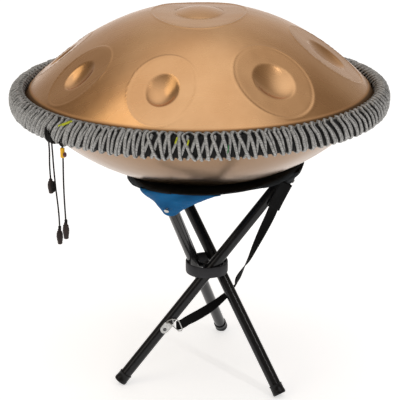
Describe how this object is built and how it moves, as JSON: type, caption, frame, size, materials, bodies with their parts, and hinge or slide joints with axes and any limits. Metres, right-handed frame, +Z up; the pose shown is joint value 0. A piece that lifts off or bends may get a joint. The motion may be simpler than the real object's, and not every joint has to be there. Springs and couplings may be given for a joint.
{
  "type": "handpan on a folding tripod stool",
  "caption": "Steel handpan with dimpled note fields and a rope-wound rim, resting on a fabric-topped folding tripod stool with crossing legs.",
  "frame": {"origin": "on the floor, straight under the axis of the handpan", "axes": "+Z up, along the axis of the handpan; +Y to the back, away from the camera of the source picture; +X to the right"},
  "size_m": [0.574, 0.574, 0.5876],
  "materials": {
    "bronze_shell": "satin, heat-coloured bronze",
    "adhesive": "matte",
    "rope": "coarse braid",
    "black_cord": "matte",
    "yellow_sleeve": "matte",
    "black_tube": "gloss",
    "rubber": "matte",
    "collar_rubber": "satin",
    "plated_steel": "satin",
    "black_nylon": "woven",
    "blue_nylon": "woven",
    "zinc": "satin"
  },
  "bodies": {
    "hub": {"hub_collar": "collar_rubber", "hub_spider": "plated_steel", "pivot_nut_1": "plated_steel", "pivot_nut_2": "plated_steel", "pivot_nut_3": "plated_steel"},
    "leg_1": {"leg_tube_1": "black_tube", "foot_cap_1": "rubber", "top_plug_1": "rubber", "corner_pocket_1": "blue_nylon", "pocket_rivet_1": "zinc"},
    "leg_2": {"leg_tube_2": "black_tube", "foot_cap_2": "rubber", "top_plug_2": "rubber", "corner_pocket_2": "black_nylon", "pocket_rivet_2": "zinc"},
    "leg_3": {"leg_tube_3": "black_tube", "foot_cap_3": "rubber", "top_plug_3": "rubber", "corner_pocket_3": "black_nylon", "pocket_rivet_3": "zinc", "carry_strap": "black_nylon", "strap_clip": "zinc", "clip_rivet": "zinc"},
    "ring": {"strap_ring": "zinc"},
    "seat": {"seat_sheet": "black_nylon", "seat_hem_1": "black_nylon", "seat_hem_2": "black_nylon", "seat_hem_3": "black_nylon"},
    "pan": {"top_shell": "bronze_shell", "bottom_shell": "bronze_shell", "rim_glue_seam": "adhesive", "rim_rope": "rope", "rope_core_upper": "rope", "rope_core_lower": "rope"},
    "hanging_cord_1": {"cord_1": "black_cord", "cord_toggle_1": "black_cord"},
    "hanging_cord_2": {"cord_2": "black_cord", "cord_toggle_2": "black_cord"},
    "hanging_cord_3": {"cord_3": "black_cord", "cord_toggle_3": "black_cord", "cord_sleeve": "yellow_sleeve"}
  },
  "joints": [
    {"name": "leg_1_fold", "type": "hinge", "parent": "hub", "child": "leg_1", "pos_m": [-0.00817, -0.00837, 0.1831], "axis": [-0.9521, 0.3057, 0], "range_deg": [0, 35], "deforming": ["corner_pocket_1", "seat_sheet", "seat_hem_1", "seat_hem_2", "seat_hem_3"]},
    {"name": "leg_2_fold", "type": "hinge", "parent": "hub", "child": "leg_2", "pos_m": [0.02467, -0.00127, 0.1831], "axis": [0.7408, 0.6717, 0], "range_deg": [0, 35], "deforming": ["corner_pocket_2"]},
    {"name": "leg_3_fold", "type": "hinge", "parent": "hub", "child": "leg_3", "pos_m": [0.0144, -0.03326, 0.1831], "axis": [0.2113, -0.9774, 0], "range_deg": [0, 35], "deforming": ["corner_pocket_3", "carry_strap"]},
    {"name": "seat_rise", "type": "slide", "parent": "hub", "child": "seat", "axis": [0, 0, 1], "range_m": [0, 0.0725]},
    {"name": "pan_lift", "type": "slide", "parent": "seat", "child": "pan", "axis": [0, 0, 1], "range_m": [0, 0.15]},
    {"name": "ring_swing", "type": "hinge", "parent": "leg_3", "child": "ring", "pos_m": [-0.04871, -0.05857, 0.10164], "axis": [-0.7547, -0.1632, 0.6354], "range_deg": [-60, 3]},
    {"name": "cord_1_swing", "type": "hinge", "parent": "pan", "child": "hanging_cord_1", "pos_m": [-0.20731, -0.19264, 0.4445], "axis": [0.6807, -0.7325, 0], "range_deg": [-60, 15]},
    {"name": "cord_2_swing", "type": "hinge", "parent": "pan", "child": "hanging_cord_2", "pos_m": [-0.20289, -0.1973, 0.4445], "axis": [0.6972, -0.7169, 0], "range_deg": [-60, 15]},
    {"name": "cord_3_swing", "type": "hinge", "parent": "pan", "child": "hanging_cord_3", "pos_m": [-0.18678, -0.21261, 0.4445], "axis": [0.7513, -0.66, 0], "range_deg": [-60, 15]}
  ],
  "couplings": [
    {"joint": "leg_2_fold", "follows": "leg_1_fold", "ratio": 1},
    {"joint": "leg_3_fold", "follows": "leg_1_fold", "ratio": 1},
    {"joint": "seat_rise", "follows": "leg_1_fold", "m_per_rad": 0.117}
  ]
}
